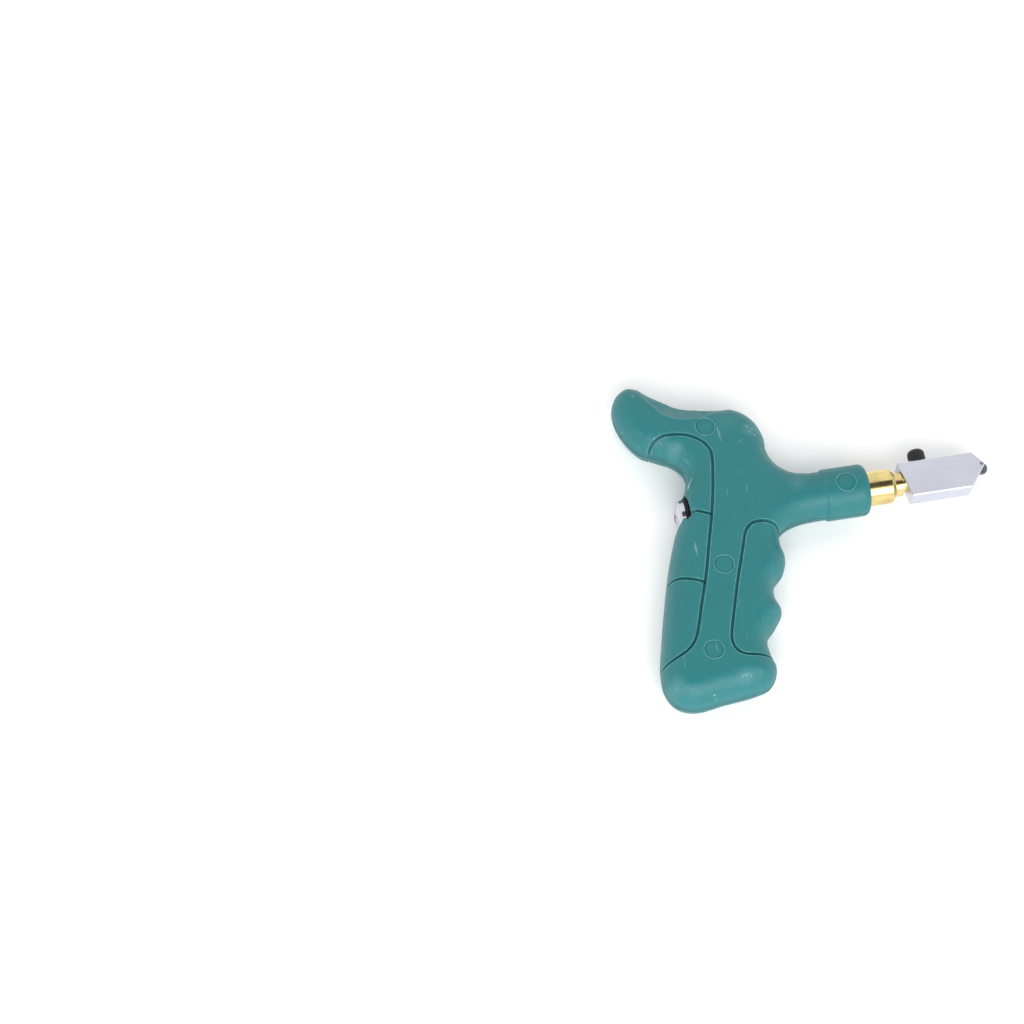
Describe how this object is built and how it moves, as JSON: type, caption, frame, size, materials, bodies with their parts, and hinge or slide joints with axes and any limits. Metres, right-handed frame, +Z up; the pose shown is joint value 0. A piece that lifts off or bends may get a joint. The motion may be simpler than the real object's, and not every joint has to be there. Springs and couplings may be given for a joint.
{
  "type": "glass cutter",
  "caption": "Pistol-grip oil-feed glass cutter: moulded two-half handle, brass oil barrel, swivelling steel head with carbide wheel.",
  "frame": {"origin": "centre of the bounding box's bottom face, on the side the tool lies on", "axes": "+X along the barrel towards the wheel, grip towards -Y, +Z up, normal to the side the tool rests on"},
  "size_m": [0.132, 0.1266, 0.0208],
  "materials": {
    "teal_plastic": "satin moulded ABS",
    "zinc_steel": "zinc-plated steel",
    "bright_zinc": "bright zinc-plated steel",
    "polished_brass": "turned and polished brass",
    "stainless": "ground stainless steel",
    "black_rubber": "nitrile rubber",
    "white_felt": "wool felt",
    "plated_steel": "satin nickel-plated steel",
    "carbide": "ground tungsten carbide",
    "black_oxide": "black oxide steel"
  },
  "bodies": {
    "handle": {"handle_left_shell": "teal_plastic", "handle_right_shell": "teal_plastic", "shell_screw_1": "zinc_steel", "shell_screw_2": "zinc_steel", "shell_screw_3": "zinc_steel", "stem_lock_screw": "zinc_steel", "oil_barrel": "polished_brass", "valve_bush": "polished_brass", "valve_spring": "stainless"},
    "stem": {"valve_stem": "polished_brass", "valve_needle": "stainless", "valve_seal": "black_rubber", "stem_o_ring": "black_rubber", "felt_wick": "white_felt"},
    "head": {"cutter_head": "plated_steel", "wheel_axle": "stainless"},
    "head_screw": {"head_screw": "black_oxide"},
    "wheel": {"cutting_wheel": "carbide"},
    "plug": {"filler_screw": "bright_zinc", "filler_washer": "bright_zinc", "filler_o_ring": "black_rubber"}
  },
  "joints": [
    {"name": "head_float", "type": "slide", "parent": "handle", "child": "stem", "axis": [1, 0, 0], "range_m": [-0.0006, 0], "stiffness_N_per_m": 2500, "springref_m": 0.0008},
    {"name": "head_swivel", "type": "hinge", "parent": "stem", "child": "head", "pos_m": [0.0389, 0.01025, 0.0104], "axis": [1, 0, 0], "continuous": true},
    {"name": "head_screw_turn", "type": "hinge", "parent": "head", "child": "head_screw", "pos_m": [0.04175, 0.01825, 0.0104], "axis": [0, 1, 0], "range_deg": [0, 720]},
    {"name": "wheel_spin", "type": "hinge", "parent": "head", "child": "wheel", "pos_m": [0.06325, 0.01185, 0.0104], "axis": [0, 0, 1], "continuous": true},
    {"name": "filler_plug_out", "type": "slide", "parent": "handle", "child": "plug", "axis": [-1, 0, 0], "range_m": [0, 0.02]}
  ]
}
